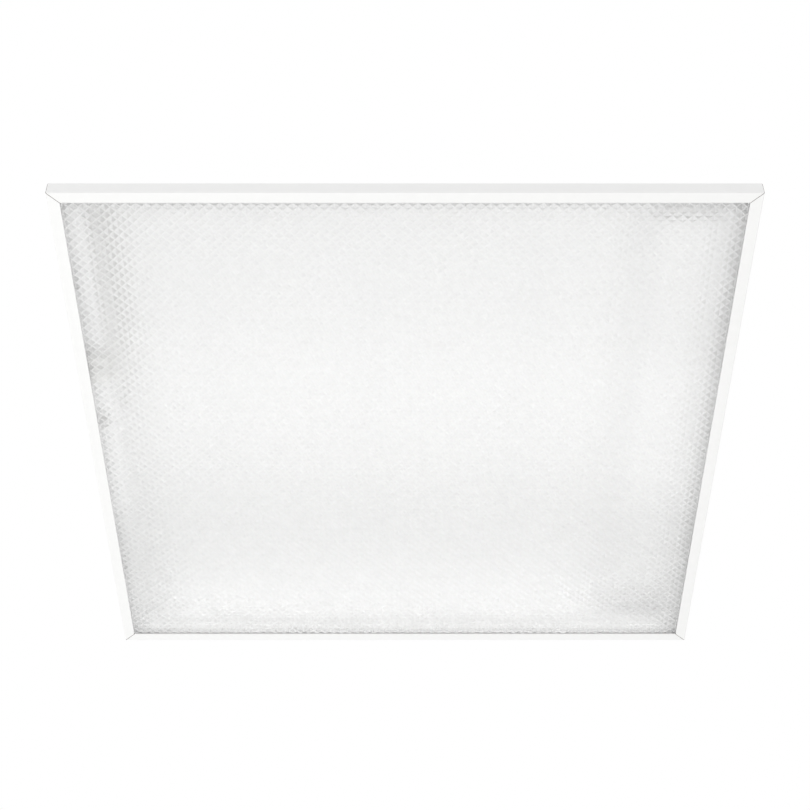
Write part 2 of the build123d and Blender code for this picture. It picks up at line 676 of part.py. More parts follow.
def parts():
    """Every node's name and its solids."""
    made = {
        "housing_tray": housing_tray(),
        "end_plate_near": end_plate(-1),
        "end_plate_far": end_plate(1),
        "board_rivets": board_rivets(),
        "board_connectors": board_connectors(),
        "led_driver": led_driver(),
        "driver_screws": driver_screws(),
        "gear_cover": gear_cover(),
        "cover_screws": cover_screws(),
        "terminal_block": terminal_block(),
        "cable_grommet": cable_grommet(),
        "earth_screw": earth_screw(),
        "supply_leads": supply_leads(),
        "board_leads": board_leads(),
        "lead_clips": lead_clips(),
        "prismatic_lens": prismatic_lens(),
    }
    for i, x in enumerate(BOARD_XS, start=1):
        made[f"led_board_{i}"] = led_board(x)
        made[f"led_packages_{i}"] = led_packages(x)
    for turn, name in ((0, "near"), (90, "right"), (180, "far"), (270, "left")):
        made[f"frame_side_{name}"] = frame_side(turn)
    for turn, name in ((0, "near_left"), (90, "near_right"), (180, "far_right"), (270, "far_left")):
        made[f"corner_key_{name}"] = corner_key(turn)
    for side, name in ((-1, "near"), (1, "far")):
        made[f"hinge_bracket_{name}"] = hinge_bracket(side)
        made[f"hinge_pin_{name}"] = hinge_pin(side)
        made[f"hinge_leaf_{name}"] = hinge_leaf(side)
        made[f"catch_clip_{name}"] = catch_clip(side)
        made[f"catch_blade_{name}"] = catch_blade(side)
    corners = ("near_left", "near_right", "far_left", "far_right")
    for (x, y), name in zip(clamp_places(), corners):
        made[f"clamp_screw_{name}"] = clamp_screw(x, y)
        made[f"clamp_carrier_{name}"] = clamp_carrier(x, y)
        made[f"clamp_arm_{name}"] = clamp_arm(x, y)
    return made


os.makedirs("parts", exist_ok=True)
for node, shape in parts().items():
    export_step(shape, f"parts/{node}.step")
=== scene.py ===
import math

import bpy
import numpy as np
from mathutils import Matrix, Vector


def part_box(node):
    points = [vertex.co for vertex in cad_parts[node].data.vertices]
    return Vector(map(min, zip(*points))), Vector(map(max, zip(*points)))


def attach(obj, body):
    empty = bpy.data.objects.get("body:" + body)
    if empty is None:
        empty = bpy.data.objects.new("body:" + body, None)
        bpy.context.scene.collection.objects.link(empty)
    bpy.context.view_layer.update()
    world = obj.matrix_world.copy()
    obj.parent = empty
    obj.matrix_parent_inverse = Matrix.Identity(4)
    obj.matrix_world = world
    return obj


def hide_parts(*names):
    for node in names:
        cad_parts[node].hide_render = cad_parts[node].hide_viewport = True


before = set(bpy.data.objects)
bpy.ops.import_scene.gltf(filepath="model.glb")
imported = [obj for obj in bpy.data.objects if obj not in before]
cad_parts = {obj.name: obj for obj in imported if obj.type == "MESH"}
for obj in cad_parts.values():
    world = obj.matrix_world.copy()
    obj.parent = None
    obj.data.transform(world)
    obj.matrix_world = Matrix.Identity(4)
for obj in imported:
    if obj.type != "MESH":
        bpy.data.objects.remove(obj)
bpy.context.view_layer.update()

# ---------------------------------------------------------------------------------------------
# The room: a pale floor far below and a white surround, a little greyer round the horizon. One
# broad soft light lies low on the left and a small one stands in front. The camera looks up.
# ---------------------------------------------------------------------------------------------
MM = 0.001
FLOOR_Z = -2.4
FLOOR_HALF = 6.0
SQUARE = ((-1, -1), (1, -1), (1, 1), (-1, 1))  # a square's corners, in turn
ZENITH_GREY, HORIZON_GREY = 1.0, 0.7
CAMERA_PLACE = (0.0, -1.1795, -1.1705)
CAMERA_PITCH = math.radians(45.73)
CAMERA_LENS = 77.56
CAMERA_SHIFT = -0.001
SENSOR_WIDTH = 36.0
FACING_UP = (math.pi, 0, 0)
LOW_LIGHT_PLACE, LOW_LIGHT_SIZE, LOW_LIGHT_WATTS = (-1.0, -0.5, -2.2), (2.4, 2.4), 17.0
FRONT_LIGHT_PLACE, FRONT_LIGHT_SIZE, FRONT_LIGHT_WATTS = (-0.9, -1.0, -0.1), (0.5, 0.5), 0.35
FRONT_LIGHT_TURN = (math.pi / 2, 0, math.radians(-35))


def empty_finish(name):
    """A material with nothing but its output: (material, its nodes, its links, the output)."""
    material = bpy.data.materials.new(name)
    material.use_nodes = True
    tree = material.node_tree
    tree.nodes.clear()
    return material, tree.nodes, tree.links, tree.nodes.new("ShaderNodeOutputMaterial")


def floor_finish():
    """Matt pale paint with faint broad clouds of tone."""
    material, nodes, links, output = empty_finish("pale_floor_paint")
    shader = nodes.new("ShaderNodeBsdfPrincipled")
    shader.inputs["Roughness"].default_value = 0.9
    place = nodes.new("ShaderNodeTexCoord")
    clouds = nodes.new("ShaderNodeTexNoise")
    clouds.inputs["Scale"].default_value = 0.8
    tones = nodes.new("ShaderNodeValToRGB")
    tones.color_ramp.elements[0].color = (0.85, 0.85, 0.84, 1)
    tones.color_ramp.elements[1].color = (0.89, 0.89, 0.88, 1)
    links.new(place.outputs["Object"], clouds.inputs["Vector"])
    links.new(clouds.outputs["Fac"], tones.inputs["Fac"])
    links.new(tones.outputs["Color"], shader.inputs["Base Color"])
    links.new(shader.outputs["BSDF"], output.inputs["Surface"])
    return material


floor_corners = [(x * FLOOR_HALF, y * FLOOR_HALF, FLOOR_Z) for x, y in SQUARE]
floor_mesh = bpy.data.meshes.new("floor")
floor_mesh.from_pydata(floor_corners, [], [(0, 1, 2, 3)])
floor_mesh.materials.append(floor_finish())
floor = bpy.data.objects.new("floor", floor_mesh)
bpy.context.scene.collection.objects.link(floor)

surround = bpy.data.worlds.new("white_surround")
surround.use_nodes = True
sky_nodes, sky_links = surround.node_tree.nodes, surround.node_tree.links
direction = sky_nodes.new("ShaderNodeTexCoord")
height = sky_nodes.new("ShaderNodeSeparateXYZ")
greys = sky_nodes.new("ShaderNodeMapRange")
greys.interpolation_type = "SMOOTHSTEP"
greys.inputs["From Min"].default_value = 0.05
greys.inputs["From Max"].default_value = 0.5
greys.inputs["To Min"].default_value = HORIZON_GREY
greys.inputs["To Max"].default_value = ZENITH_GREY
sky_links.new(direction.outputs["Generated"], height.inputs["Vector"])
sky_links.new(height.outputs["Z"], greys.inputs["Value"])
sky_links.new(greys.outputs["Result"], sky_nodes["Background"].inputs["Strength"])
sky_nodes["Background"].inputs["Color"].default_value = (1, 1, 1, 1)
bpy.context.scene.world = surround


def soft_panel(name, place, turn, size, watts, spread=math.pi):
    """A soft light that the camera, gloss and clear plastic don't show, shining within its spread."""
    data = bpy.data.lights.new(name, "AREA")
    data.shape = "RECTANGLE"
    data.size, data.size_y = size
    data.energy = watts
    data.spread = spread
    panel = bpy.data.objects.new(name, data)
    panel.location = place
    panel.rotation_euler = turn
    panel.visible_camera = panel.visible_glossy = panel.visible_transmission = False
    bpy.context.scene.collection.objects.link(panel)
    return panel


soft_panel("low_left_light", LOW_LIGHT_PLACE, FACING_UP, LOW_LIGHT_SIZE, LOW_LIGHT_WATTS)
soft_panel("front_light", FRONT_LIGHT_PLACE, FRONT_LIGHT_TURN, FRONT_LIGHT_SIZE, FRONT_LIGHT_WATTS)

camera_data = bpy.data.cameras.new("camera")
camera_data.lens = CAMERA_LENS
camera_data.sensor_width = SENSOR_WIDTH
camera_data.shift_y = CAMERA_SHIFT
camera = bpy.data.objects.new("camera", camera_data)
camera.location = CAMERA_PLACE
camera.rotation_euler = (math.pi / 2 + CAMERA_PITCH, 0, 0)
bpy.context.scene.collection.objects.link(camera)
bpy.context.scene.camera = camera
bpy.context.scene.view_settings.view_transform = "Standard"

# ---------------------------------------------------------------------------------------------
# The housing: a tray folded from 1 mm steel sheet and two end plates spot-welded to it, all in
# white powder coat. Soft panels behind the lens, which swing open with it, stand for the light
# that it lets in. A grey strip that only rays through the lens meet is painted shade, standing
# for the dark ceiling void.
# ---------------------------------------------------------------------------------------------
TRAY_LIGHT_X, TRAY_LIGHT_Z, TRAY_LIGHT_SIZE = -0.0055, -0.0112, (0.578, 0.19)
TRAY_LIGHTS = (("near", -0.181, 0.214), ("middle", 0.009, 0.247), ("far", 0.199, 0.203))
PLATE_LIGHT_PLACE, PLATE_LIGHT_SIZE, PLATE_LIGHT_WATTS = (0, 0.2, 0.012), (0.52, 0.028), 0.035
PLATE_LIGHT_SPREAD = math.radians(70)
SIDE_LIGHT_PLACE, SIDE_LIGHT_SIZE, SIDE_LIGHT_WATTS = (0, 0.279, -0.006), (0.56, 0.008), 0.013
COVER_LIGHT_PLACE, COVER_LIGHT_SIZE, COVER_LIGHT_WATTS = (0.245, -0.262, 0.0205), (0.076, 0.016), 0.004
FACING_FAR = (math.pi / 2, 0, 0)
VOID_INNER, VOID_OUTER, VOID_Z = 288 * MM, 300 * MM, 1.5 * MM


def grained_finish(name, dark, light, grain, roughness, relief, metallic=0.0, stretch=(1, 1, 1)):
    """Opaque finish led by two noises in the piece's own coordinates.

    Colour runs from dark to light with a broad noise, twelve grains wide. Roughness runs between
    its two values with a fine noise one grain wide, and the same noise stands out by the relief.
    A stretch other than 1 draws the grain out, as rolling or plating lines do.
    """
    material, nodes, links, output = empty_finish(name)
    shader = nodes.new("ShaderNodeBsdfPrincipled")
    shader.inputs["Metallic"].default_value = metallic
    place = nodes.new("ShaderNodeTexCoord")
    drawn = nodes.new("ShaderNodeMapping")
    drawn.inputs["Scale"].default_value = stretch
    links.new(place.outputs["Object"], drawn.inputs["Vector"])
    broad = nodes.new("ShaderNodeTexNoise")
    broad.inputs["Scale"].default_value = 1 / (12 * grain)
    broad.inputs["Detail"].default_value = 3.0
    fine = nodes.new("ShaderNodeTexNoise")
    fine.inputs["Scale"].default_value = 1 / grain
    fine.inputs["Detail"].default_value = 2.0
    for noise in (broad, fine):
        links.new(drawn.outputs["Vector"], noise.inputs["Vector"])
    tones = nodes.new("ShaderNodeValToRGB")
    tones.color_ramp.elements[0].position = 0.3
    tones.color_ramp.elements[0].color = (*dark, 1)
    tones.color_ramp.elements[1].position = 0.7
    tones.color_ramp.elements[1].color = (*light, 1)
    links.new(broad.outputs["Fac"], tones.inputs["Fac"])
    links.new(tones.outputs["Color"], shader.inputs["Base Color"])
    sheen = nodes.new("ShaderNodeMapRange")
    sheen.inputs["From Min"].default_value = 0.3
    sheen.inputs["From Max"].default_value = 0.7
    sheen.inputs["To Min"].default_value = roughness[0]
    sheen.inputs["To Max"].default_value = roughness[1]
    links.new(fine.outputs["Fac"], sheen.inputs["Value"])
    links.new(sheen.outputs["Result"], shader.inputs["Roughness"])
    bump = nodes.new("ShaderNodeBump")
    bump.inputs["Strength"].default_value = 1.0
    bump.inputs["Distance"].default_value = relief
    links.new(fine.outputs["Fac"], bump.inputs["Height"])
    links.new(bump.outputs["Normal"], shader.inputs["Normal"])
    links.new(shader.outputs["BSDF"], output.inputs["Surface"])
    return material


def dress(material, *names):
    """Gives a finish to the CAD nodes of those names."""
    for name in names:
        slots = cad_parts[name].data.materials
        slots.clear()
        slots.append(material)


housing_coat = grained_finish(
    "housing_powder_coat", (0.87, 0.87, 0.87), (0.9, 0.9, 0.902), 0.9 * MM, (0.42, 0.56), 0.012 * MM
)
dress(housing_coat, "housing_tray", "end_plate_near", "end_plate_far")
lights = [
    soft_panel(f"tray_light_{third}", (TRAY_LIGHT_X, y, TRAY_LIGHT_Z), FACING_UP, TRAY_LIGHT_SIZE, watts)
    for third, y, watts in TRAY_LIGHTS
]
plate_light = ("far_plate_light", PLATE_LIGHT_PLACE, FACING_FAR, PLATE_LIGHT_SIZE, PLATE_LIGHT_WATTS)
side_light = ("far_side_light", SIDE_LIGHT_PLACE, FACING_FAR, SIDE_LIGHT_SIZE, SIDE_LIGHT_WATTS)
cover_light = ("cover_end_light", COVER_LIGHT_PLACE, FACING_FAR, COVER_LIGHT_SIZE, COVER_LIGHT_WATTS)
lights.append(soft_panel(*plate_light, PLATE_LIGHT_SPREAD))
lights += [soft_panel(*side_light), soft_panel(*cover_light)]
for light in lights:
    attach(light, "lens_frame")

# Painted shade: a grey strip put where the dark ceiling void gives only shade.
void_shade_grey = grained_finish(
    "ceiling_void_shade", (0.62, 0.62, 0.62), (0.7, 0.7, 0.7), 5 * MM, (0.9, 1.0), 0.1 * MM
)
ring = [(x * half, y * half, VOID_Z) for half in (VOID_INNER, VOID_OUTER) for x, y in SQUARE]
void_mesh = bpy.data.meshes.new("ceiling_void_shade")
void_mesh.from_pydata(ring, [], [(k, (k + 1) % 4, (k + 1) % 4 + 4, k + 4) for k in range(4)])
void_mesh.materials.append(void_shade_grey)
void = bpy.data.objects.new("ceiling_void_shade", void_mesh)
void.visible_camera = void.visible_diffuse = void.visible_glossy = void.visible_shadow = False
bpy.context.scene.collection.objects.link(void)

# ---------------------------------------------------------------------------------------------
# The light boards: four aluminium-backed strips with white solder mask. Each carries a row of
# small packages, a white moulded cup with a window of pale phosphor.
# ---------------------------------------------------------------------------------------------
BOARDS = 4
BOARD_PITCH = 145 * MM
BOARD_LENGTH = 520 * MM
FIRST_BOARD_X = -252.2 * MM
PACKAGES_A_BOARD = 22
PACKAGE_PITCH = BOARD_LENGTH / PACKAGES_A_BOARD
CORNER_POINTS = 3  # points to a rounded corner
BOARD_FACE_Z = 28.8 * MM
SHARP_ANGLE = math.radians(32)  # edges sharper than this stay crisp


def closed_skins(name, shells):
    """Mesh of closed skins through rings of points, turned so that every face looks outwards.

    shells is an array of copies by rings by points by xyz. Each ring joins the next point by
    point, and the first and the last ring are closed with one flat face. The sum of each skin's
    signed cone volumes tells whether it is inside out, and its point order is reversed if so.
    """
    shells = np.asarray(shells, float)
    copies, rings, points, _ = shells.shape
    a, b = shells[:, :-1], shells[:, 1:]
    a2, b2 = np.roll(a, -1, axis=2), np.roll(b, -1, axis=2)
    middle = shells.mean(axis=(1, 2), keepdims=True)
    volume = (np.cross(a - middle, a2 - middle) * (b2 - middle)).sum(axis=(1, 2, 3))
    volume += (np.cross(a - middle, b2 - middle) * (b - middle)).sum(axis=(1, 2, 3))
    for end, way in ((0, -1.0), (-1, 1.0)):
        rim = shells[:, end]
        hub = rim.mean(axis=1, keepdims=True)
        fan = np.cross(rim - middle[:, 0], np.roll(rim, -1, axis=1) - middle[:, 0])
        volume += way * (fan * (hub - middle[:, 0])).sum(axis=(1, 2))
    shells = np.where((volume < 0)[:, None, None, None], shells[:, :, ::-1], shells)
    index = np.arange(copies * rings * points).reshape(copies, rings, points)
    beside = np.roll(index, -1, axis=2)
    quads = np.stack([index[:, :-1], beside[:, :-1], beside[:, 1:], index[:, 1:]], axis=-1)
    faces = quads.reshape(-1, 4).tolist() + index[:, 0, ::-1].tolist() + index[:, -1].tolist()
    mesh = bpy.data.meshes.new(name)
    mesh.from_pydata(shells.reshape(-1, 3).tolist(), [], faces)
    mesh.polygons.foreach_set("use_smooth", np.ones(len(mesh.polygons), bool))
    mesh.set_sharp_from_angle(angle=SHARP_ANGLE)
    piece = bpy.data.objects.new(name, mesh)
    bpy.context.scene.collection.objects.link(piece)
    return piece


def fit_piece(piece, body, material, slot, *nodes):
    """Gives a finished piece its material and its body and hides the CAD nodes it stands for. The slot is
    not used.
    """
    piece.data.materials.append(material)
    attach(piece, body)
    if nodes:
        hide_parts(*nodes)


def round_cornered(levels):
    """Rings of rounded rectangles: for each level (height, half length, half width, corner).

    A ring's point is its corner's centre plus the corner radius times the cosine and sine of its
    angle, and the angle runs a quarter turn at each of the four corners.
    """
    quarter = np.linspace(0, math.pi / 2, CORNER_POINTS)
    angle = np.concatenate([quarter + k * math.pi / 2 for k in range(4)])
    sign_x = np.repeat([1, -1, -1, 1], CORNER_POINTS)
    sign_y = np.repeat([1, 1, -1, -1], CORNER_POINTS)
    z, half_x, half_y, radius = (np.array(column)[:, None] for column in zip(*levels))
    x = sign_x * (half_x - radius) + radius * np.cos(angle)
    y = sign_y * (half_y - radius) + radius * np.sin(angle)
    return np.stack([x, y, np.broadcast_to(z, x.shape)], axis=-1)


def placed_copies(rings, places):
    """The same rings once at each place."""
    return rings[None] + np.asarray(places, float)[:, None, None, :]


board_xs = FIRST_BOARD_X + BOARD_PITCH * np.arange(BOARDS)
board_mask = grained_finish(
    "white_solder_mask", (0.89, 0.89, 0.89), (0.92, 0.92, 0.923), 0.5 * MM, (0.28, 0.4), 0.004 * MM
)
dress(board_mask, *(f"led_board_{i + 1}" for i in range(BOARDS)))

package_ys = (np.arange(PACKAGES_A_BOARD) - (PACKAGES_A_BOARD - 1) / 2) * PACKAGE_PITCH
package_places = [(x, y, BOARD_FACE_Z) for x in board_xs for y in package_ys]
cup = round_cornered(
    [
        (0.0, 1.4 * MM, 1.75 * MM, 0.1 * MM),
        (-0.55 * MM, 1.4 * MM, 1.75 * MM, 0.15 * MM),
        (-0.68 * MM, 1.3 * MM, 1.65 * MM, 0.25 * MM),
        (-0.7 * MM, 1.12 * MM, 1.45 * MM, 0.4 * MM),
        (-0.6 * MM, 1.05 * MM, 1.38 * MM, 0.5 * MM),
        (-0.35 * MM, 0.9 * MM, 1.2 * MM, 0.55 * MM),
    ]
)
package_white = grained_finish(
    "white_package_moulding", (0.86, 0.86, 0.85), (0.9, 0.9, 0.89), 0.2 * MM, (0.35, 0.5), 0.002 * MM
)
fit_piece(
    closed_skins("package_cups", placed_copies(cup, package_places)),
    "housing",
    package_white,
    "led_phosphor",
    *(f"led_packages_{i + 1}" for i in range(BOARDS)),
)
window = round_cornered(
    [
        (-0.34 * MM, 0.85 * MM, 1.15 * MM, 0.5 * MM),
        (-0.5 * MM, 0.97 * MM, 1.27 * MM, 0.5 * MM),
        (-0.58 * MM, 0.7 * MM, 0.95 * MM, 0.5 * MM),
        (-0.61 * MM, 0.3 * MM, 0.4 * MM, 0.28 * MM),
    ]
)
phosphor = grained_finish(
    "pale_phosphor_gel", (0.84, 0.81, 0.62), (0.9, 0.88, 0.72), 0.25 * MM, (0.22, 0.34), 0.003 * MM
)
windows = closed_skins("phosphor_windows", placed_copies(window, package_places))
fit_piece(windows, "housing", phosphor, "led_phosphor")

# ---------------------------------------------------------------------------------------------
# Push rivets of white nylon hold each board up. Their low domed heads carry the driving pin's
# dimple in the middle.
# ---------------------------------------------------------------------------------------------
RIVET_SHIFT = 4.6 * MM
RIVET_YS = (-205 * MM, -68 * MM, 68 * MM, 205 * MM)
RIVET_SIDES = 20


def turned(profile, sides):
    """Rings of a turned piece: each profile point (radius, height) goes once round the Z axis."""
    radius, height = (np.array(column)[:, None] for column in zip(*profile))
    angle = np.arange(sides) * 2 * math.pi / sides
    x, y = radius * np.cos(angle), radius * np.sin(angle)
    return np.stack([x, y, np.broadcast_to(height, x.shape)], axis=-1)


rivet = turned(
    [
        (2.55 * MM, 0.0),
        (2.6 * MM, -0.35 * MM),
        (2.3 * MM, -0.9 * MM),
        (1.7 * MM, -1.26 * MM),
        (1.1 * MM, -1.39 * MM),
        (0.9 * MM, -1.34 * MM),
        (0.8 * MM, -0.95 * MM),
        (0.3 * MM, -0.9 * MM),
    ],
    RIVET_SIDES,
)
nylon = grained_finish(
    "white_nylon", (0.84, 0.84, 0.82), (0.88, 0.88, 0.86), 0.6 * MM, (0.4, 0.55), 0.006 * MM
)
rivet_places = [(x + RIVET_SHIFT, y, BOARD_FACE_Z) for x in board_xs for y in RIVET_YS]
rivets = closed_skins("rivet_heads", placed_copies(rivet, rivet_places))
fit_piece(rivets, "housing", nylon, "white_nylon", "board_rivets")
dress(nylon, "board_connectors", "lead_clips")

# ---------------------------------------------------------------------------------------------
# The leads: white sleeved wire, from board to board along the near ends, and three more from the
# supply terminal round the near wall to the driver. Clips on the near wall hold those three.
# ---------------------------------------------------------------------------------------------
LEAD_RADIUS = 0.9 * MM
LEAD_SLANT = (0.36, 0.48, 0.8)  # a direction that no lead takes
TERMINAL_X, TERMINAL_Y = -279.9 * MM, -89.5 * MM
POLES, POLE_PITCH = 3, 10 * MM
LEAD_STEP = 2.4 * MM  # leads run one above another
LEAD_RISE_X, LEAD_DRIVER_X = -266.5 * MM, 236 * MM
LEAD_LOW_Z, LEAD_RUN_Y, LEAD_RUN_Z = -5.2 * MM, -266 * MM, 26.2 * MM
LEAD_END_Y = -84 * MM  # where leads enter the driver
SUPPLY_BEND, JUMPER_BEND = 3.5 * MM, 2.2 * MM
TERMINAL_PORT, JUMPER_PORT = 4.1 * MM, 2.25 * MM
JUMPER_LAST_X = 228 * MM


def bent_wire(route, bend, sides=10, samples=7):
    """Rings of a round wire that follows a route and rounds each of its corners.

    Each corner is left and met at the bend's distance, and between those two points the wire is a
    quadratic curve with the corner as its control point: (1-t)^2 a + 2t(1-t) c + t^2 b. The ring
    round each point lies across the wire's direction there.
    """
    route = np.asarray(route, float)
    before, corner, after = route[:-2], route[1:-1], route[2:]
    back = (before - corner) / np.linalg.norm(before - corner, axis=1, keepdims=True)
    on = (after - corner) / np.linalg.norm(after - corner, axis=1, keepdims=True)
    t = np.linspace(0, 1, samples)[None, :, None]
    start, stop = (corner + back * bend)[:, None], (corner + on * bend)[:, None]
    turns = (1 - t) ** 2 * start + 2 * t * (1 - t) * corner[:, None] + t**2 * stop
    path = np.concatenate([route[:1], turns.reshape(-1, 3), route[-1:]])
    along = np.gradient(path, axis=0)
    along /= np.linalg.norm(along, axis=1, keepdims=True)
    across = np.cross(along, LEAD_SLANT)
    across /= np.linalg.norm(across, axis=1, keepdims=True)
    third = np.cross(along, across)
    angle = (np.arange(sides) * 2 * math.pi / sides)[None, :, None]
    ring = np.cos(angle) * across[:, None] + np.sin(angle) * third[:, None]
    return path[:, None] + LEAD_RADIUS * ring


supply_routes = []
for pole in range(POLES):
    y = TERMINAL_Y + (pole - 1) * POLE_PITCH
    x_rise, x_driver = LEAD_RISE_X + LEAD_STEP * pole, LEAD_DRIVER_X + 2 * LEAD_STEP * pole
    z_run = LEAD_RUN_Z - LEAD_STEP * pole
    supply_routes.append(
        [
            (TERMINAL_X + TERMINAL_PORT, y, LEAD_LOW_Z),
            (x_rise, y, LEAD_LOW_Z),
            (x_rise, y, z_run),
            (x_rise, LEAD_RUN_Y, z_run),
            (x_driver, LEAD_RUN_Y, z_run),
            (x_driver, LEAD_END_Y, z_run),
        ]
    )
sleeve = grained_finish(
    "white_wire_sleeve", (0.8, 0.8, 0.78), (0.87, 0.87, 0.85), 0.7 * MM, (0.35, 0.5), 0.006 * MM
)
fit_piece(
    closed_skins("supply_wires", np.stack([bent_wire(route, SUPPLY_BEND) for route in supply_routes])),
    "housing",
    sleeve,
    "lead_sleeve",
    "supply_leads",
)
jumper_z, jumper_y, jumper_in = 26.8 * MM, -262.3 * MM, -256.9 * MM
jumpers = []
for left, right in zip(board_xs[:-1] + JUMPER_PORT, board_xs[1:] - JUMPER_PORT):
    jumpers.append([(left, jumper_in), (left, jumper_y), (right, jumper_y), (right, jumper_in)])
last = board_xs[-1] + JUMPER_PORT
turn_in, driver_end = (JUMPER_LAST_X, jumper_y), (JUMPER_LAST_X, LEAD_END_Y)
jumpers.append([(last, jumper_in), (last, jumper_y), turn_in, driver_end])
jumper_rings = [bent_wire([(x, y, jumper_z) for x, y in route], JUMPER_BEND) for route in jumpers]
board_wires = closed_skins("board_wires", np.stack(jumper_rings))
fit_piece(board_wires, "housing", sleeve, "lead_sleeve", "board_leads")

# ---------------------------------------------------------------------------------------------
# The gear: a moulded driver on two screws, and over it a folded white cover whose foot is screwed
# to the tray. All four screws are pan heads with a cross recess, zinc plated.
# ---------------------------------------------------------------------------------------------
DRIVER_SCREW_X, DRIVER_SCREW_Y, DRIVER_EAR_Z = 246 * MM, 89.5 * MM, 27.5 * MM
DRIVER_HEAD_RADIUS, DRIVER_HEAD_HEIGHT = 3.4 * MM, 2.0 * MM
COVER_SCREW_X, COVER_SCREW_Y, COVER_FOOT_Z = 198.4 * MM, 210 * MM, 29.2 * MM
COVER_HEAD_RADIUS, COVER_HEAD_HEIGHT = 2.9 * MM, 1.8 * MM
HEAD_SIDES = 32
HEAD_CROWN = 0.72  # share of the quarter ellipse that the head's outside follows

driver_case = grained_finish(
    "white_driver_moulding", (0.83, 0.83, 0.81), (0.87, 0.87, 0.85), 0.5 * MM, (0.45, 0.6), 0.01 * MM
)
dress(driver_case, "led_driver")
dress(housing_coat, "gear_cover")


def cross_head(radius, height):
    """Rings of a pan head, hanging down from height 0, with a cross-shaped recess.

    Outside, the radius falls off as a quarter ellipse. The recess ring's radius is a narrow slot
    width over the larger of the sine and cosine of four lobes, so it reaches out along X and Y.
    """
    angle = np.arange(HEAD_SIDES) * 2 * math.pi / HEAD_SIDES
    fall = np.linspace(0, math.pi / 2 * HEAD_CROWN, 6)
    reach, drop = radius * np.cos(fall), height * (0.45 + 0.55 * np.sin(fall) / 0.905)
    outside = turned([(radius * 0.97, 0.0), *zip(reach, -drop)], HEAD_SIDES)
    lobes = np.abs(np.cos(2 * angle)) ** 3
    recess = []
    for share, depth in ((1.0, 1.0), (0.97, 0.9), (0.8, 0.45), (0.55, 0.3)):
        reach = radius * (0.17 + 0.31 * lobes) * share
        floor_z = np.full(HEAD_SIDES, -height * depth)
        recess.append(np.stack([reach * np.cos(angle), reach * np.sin(angle), floor_z], axis=-1))
    return np.concatenate([outside, np.array(recess)])


zinc = grained_finish(
    "bright_zinc_plate",
    (0.62, 0.63, 0.65),
    (0.74, 0.75, 0.76),
    0.35 * MM,
    (0.26, 0.42),
    0.004 * MM,
    metallic=1.0,
)
driver_places = [(DRIVER_SCREW_X, side * DRIVER_SCREW_Y, DRIVER_EAR_Z) for side in (-1, 1)]
driver_heads = placed_copies(cross_head(DRIVER_HEAD_RADIUS, DRIVER_HEAD_HEIGHT), driver_places)
driver_screws = closed_skins("driver_screw_heads", driver_heads)
fit_piece(driver_screws, "housing", zinc, "plated_steel", "driver_screws")
cover_places = [(COVER_SCREW_X, side * COVER_SCREW_Y, COVER_FOOT_Z) for side in (-1, 1)]
cover_heads = placed_copies(cross_head(COVER_HEAD_RADIUS, COVER_HEAD_HEIGHT), cover_places)
cover_screws = closed_skins("cover_screw_heads", cover_heads)
fit_piece(cover_screws, "housing", zinc, "plated_steel", "cover_screws")

# ---------------------------------------------------------------------------------------------
# The supply side under the left flange: a light grey moulded terminal with three push-wire poles,
# the earth screw with its painted washer, and a light rubber grommet in the wall for the cable.
# ---------------------------------------------------------------------------------------------
BUTTON_SHIFT = 4.125 * MM
EARTH_X, EARTH_Y, FLANGE_Z = -283.4 * MM, -19.5 * MM, -1 * MM
WASHER_THICKNESS = 0.8 * MM
EARTH_HEAD_RADIUS, EARTH_HEAD_HEIGHT = 3.3 * MM, 2.2 * MM

terminal_grey = grained_finish(
    "grey_terminal_moulding", (0.74, 0.74, 0.73), (0.8, 0.8, 0.79), 0.5 * MM, (0.4, 0.55), 0.01 * MM
)
dress(terminal_grey, "terminal_block")
button = round_cornered(
    [
        (-8.3 * MM, 1.6 * MM, 1.6 * MM, 0.3 * MM),
        (-9.1 * MM, 1.6 * MM, 1.6 * MM, 0.3 * MM),
        (-9.38 * MM, 1.3 * MM, 1.3 * MM, 0.4 * MM),
        (-9.2 * MM, 0.7 * MM, 0.7 * MM, 0.35 * MM),
    ]
)
pole_ys = [TERMINAL_Y + (pole - 1) * POLE_PITCH for pole in range(POLES)]
button_places = [(TERMINAL_X - BUTTON_SHIFT, y, 0) for y in pole_ys]
buttons = closed_skins("release_buttons", placed_copies(button, button_places))
fit_piece(buttons, "housing", nylon, "white_nylon")

washer_side = [(4.3 * MM, 0.0), (4.4 * MM, -0.1 * MM), (4.4 * MM, -0.7 * MM), (4.2 * MM, -WASHER_THICKNESS)]
washer = turned(washer_side, HEAD_SIDES)
earth_washer = closed_skins("earth_washer", placed_copies(washer, [(EARTH_X, EARTH_Y, FLANGE_Z)]))
fit_piece(earth_washer, "housing", housing_coat, "plated_steel", "earth_screw")
earth_head = placed_copies(
    cross_head(EARTH_HEAD_RADIUS, EARTH_HEAD_HEIGHT), [(EARTH_X, EARTH_Y, FLANGE_Z - WASHER_THICKNESS)]
)
dull_nickel = grained_finish(
    "dull_nickel", (0.4, 0.38, 0.35), (0.5, 0.48, 0.45), 0.3 * MM, (0.35, 0.5), 0.004 * MM, metallic=1.0
)
fit_piece(closed_skins("earth_screw_head", earth_head), "housing", dull_nickel, "plated_steel")
rubber = grained_finish(
    "light_grey_rubber", (0.5, 0.5, 0.49), (0.6, 0.6, 0.58), 0.4 * MM, (0.6, 0.8), 0.015 * MM
)
dress(rubber, "cable_grommet")

# ---------------------------------------------------------------------------------------------
# The ceiling clamps: four long zinc-plated screws with white painted heads, each with a folded
# carrier and a nylon arm that swings out over the ceiling board as the screw draws it down.
# ---------------------------------------------------------------------------------------------
CLAMP_X, CLAMP_Y = 280 * MM, 150 * MM
THREAD_PITCH, THREAD_DEPTH = 0.7 * MM, 0.35 * MM
CLAMP_SCREW_RADIUS, CLAMP_SCREW_TOP = 2.0 * MM, 30.6 * MM
CLAMP_HEAD_RADIUS, CLAMP_HEAD_HEIGHT = 4.0 * MM, 2.4 * MM


